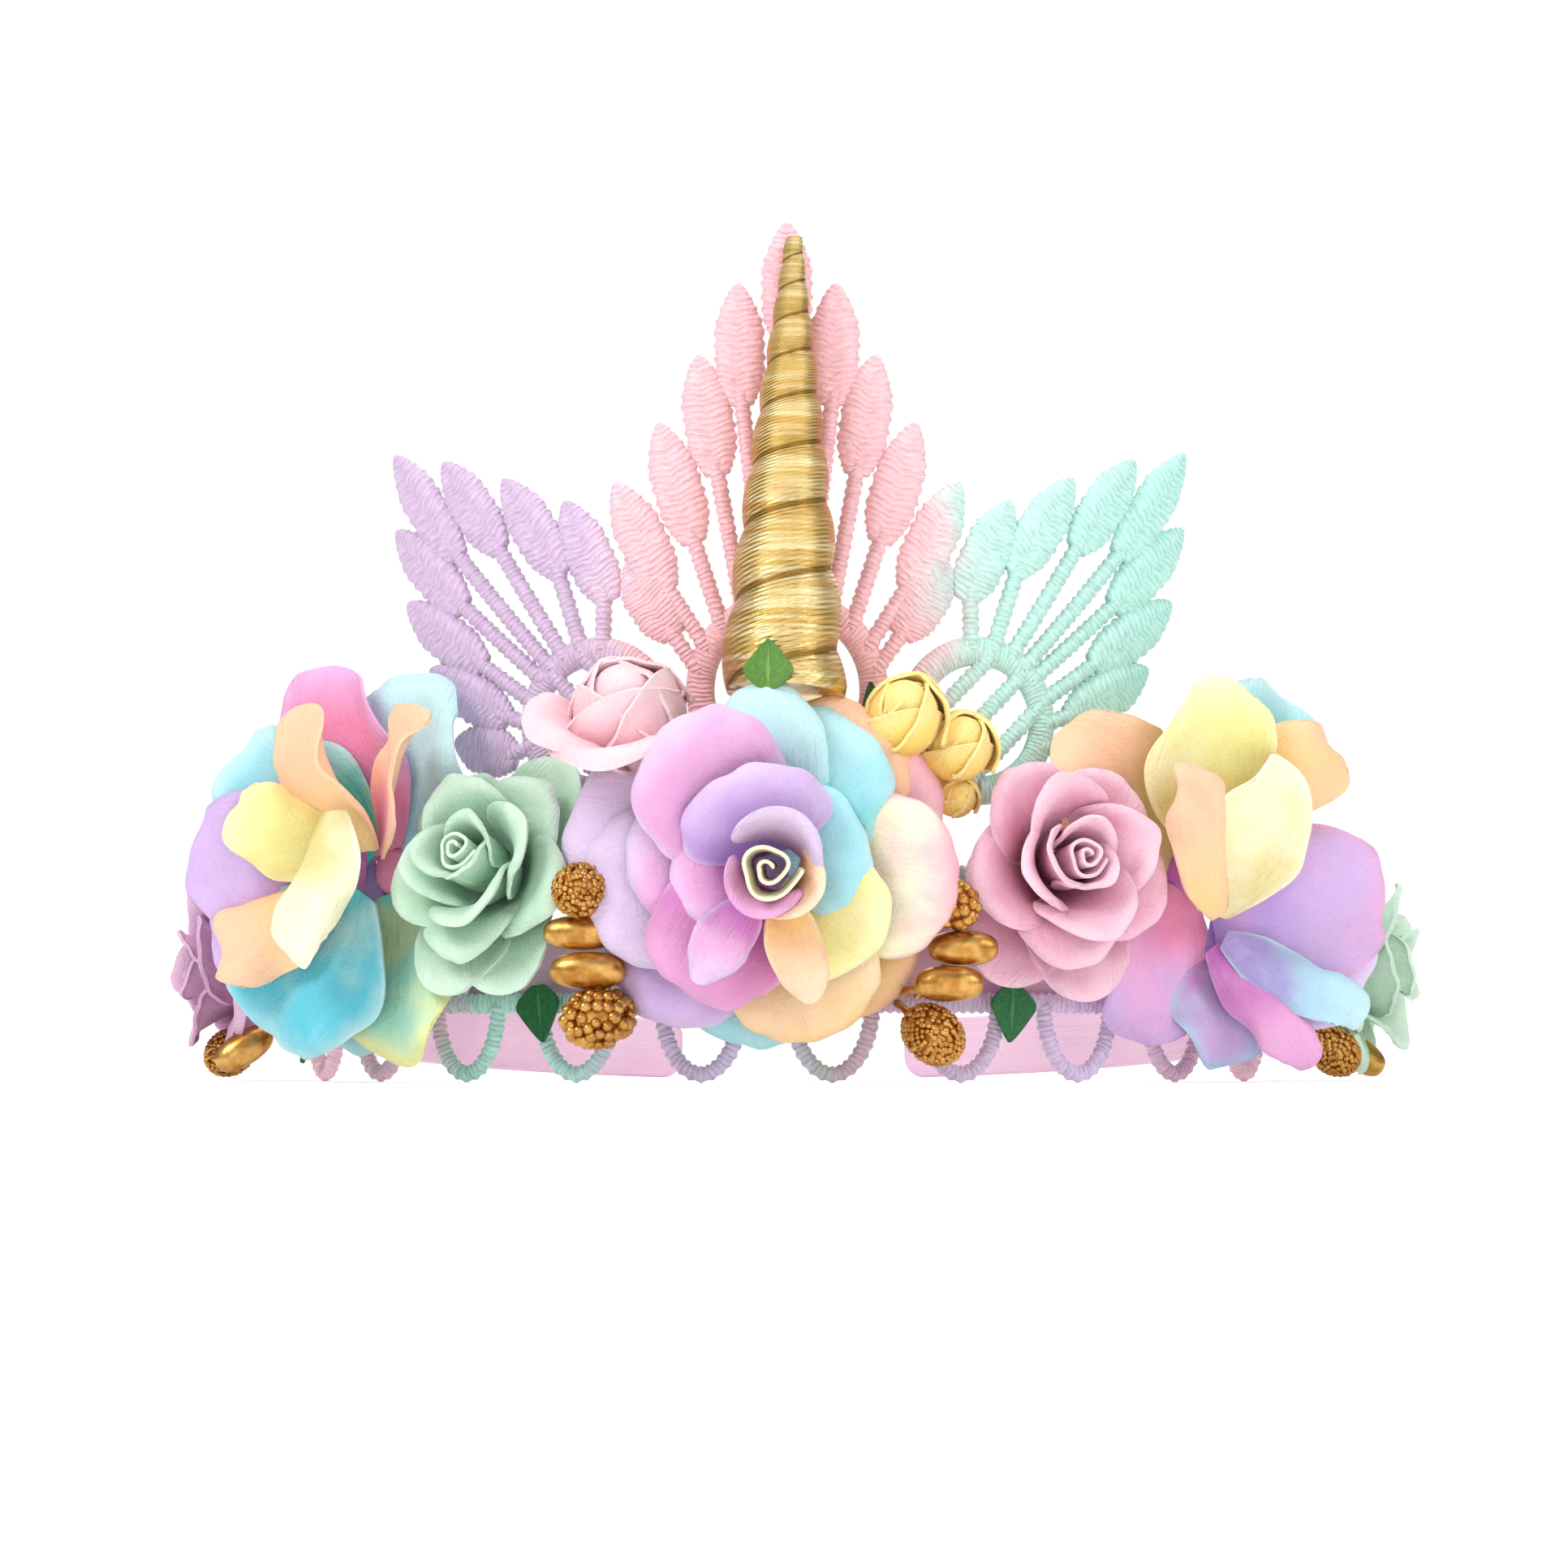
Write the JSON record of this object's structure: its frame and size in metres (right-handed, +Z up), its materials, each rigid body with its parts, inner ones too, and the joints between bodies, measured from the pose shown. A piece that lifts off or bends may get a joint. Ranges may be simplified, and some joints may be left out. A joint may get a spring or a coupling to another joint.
{
  "type": "unicorn flower crown",
  "caption": "Open C-shaped headband with a standing tie-dyed lace crown, a gold spiral horn, and paper roses, leaves and gold pips along its front.",
  "frame": {"origin": "centre of the crown's footprint, on the surface that the lace loops and the band tips stand on", "axes": "+X to the wearer's left, from the left bloom to the right bloom as seen from the front; +Y from the horn to the band tips; +Z up along the horn"},
  "size_m": [0.1822, 0.1682, 0.119],
  "materials": {
    "band_satin": "pink satin ribbon over a stiff band",
    "lace_thread": "stiffened satin-stitch lace, tie-dyed lilac, pink and mint",
    "horn_gold": "gold metallic paint over fine windings",
    "rainbow_paper": "dyed paper, lilac, pink, peach, yellow and aqua",
    "mint_paper": "matt mint green paper",
    "pink_paper": "matt dusty pink paper",
    "blush_paper": "matt blush paper",
    "mauve_paper": "matt mauve paper",
    "yellow_paper": "matt yellow paper",
    "leaf_paper": "green leaf paper",
    "pip_gold": "bronze gold pearl lacquer"
  },
  "bodies": {
    "root": {"headband": "band_satin", "lace_crown": "lace_thread", "unicorn_horn": "horn_gold", "centre_rose": "rainbow_paper", "left_bloom": "rainbow_paper", "right_bloom": "rainbow_paper", "mint_rose": "mint_paper", "pink_rose": "pink_paper", "blush_rose": "blush_paper", "left_end_rose": "mauve_paper", "right_end_rose": "mint_paper", "yellow_rosebud_1": "yellow_paper", "yellow_rosebud_2": "yellow_paper", "yellow_rosebud_3": "yellow_paper", "gold_berry_1": "pip_gold", "gold_berry_2": "pip_gold", "gold_berry_3": "pip_gold", "gold_berry_4": "pip_gold", "gold_berry_5": "pip_gold", "gold_berry_6": "pip_gold", "gold_pip_1": "pip_gold", "gold_pip_2": "pip_gold", "gold_pip_3": "pip_gold", "gold_pip_4": "pip_gold", "gold_pip_5": "pip_gold", "gold_pip_6": "pip_gold", "leaf_1": "leaf_paper", "leaf_2": "leaf_paper", "leaf_3": "leaf_paper", "leaf_4": "leaf_paper", "leaf_5": "leaf_paper", "leaf_6": "leaf_paper"}
  },
  "joints": []
}
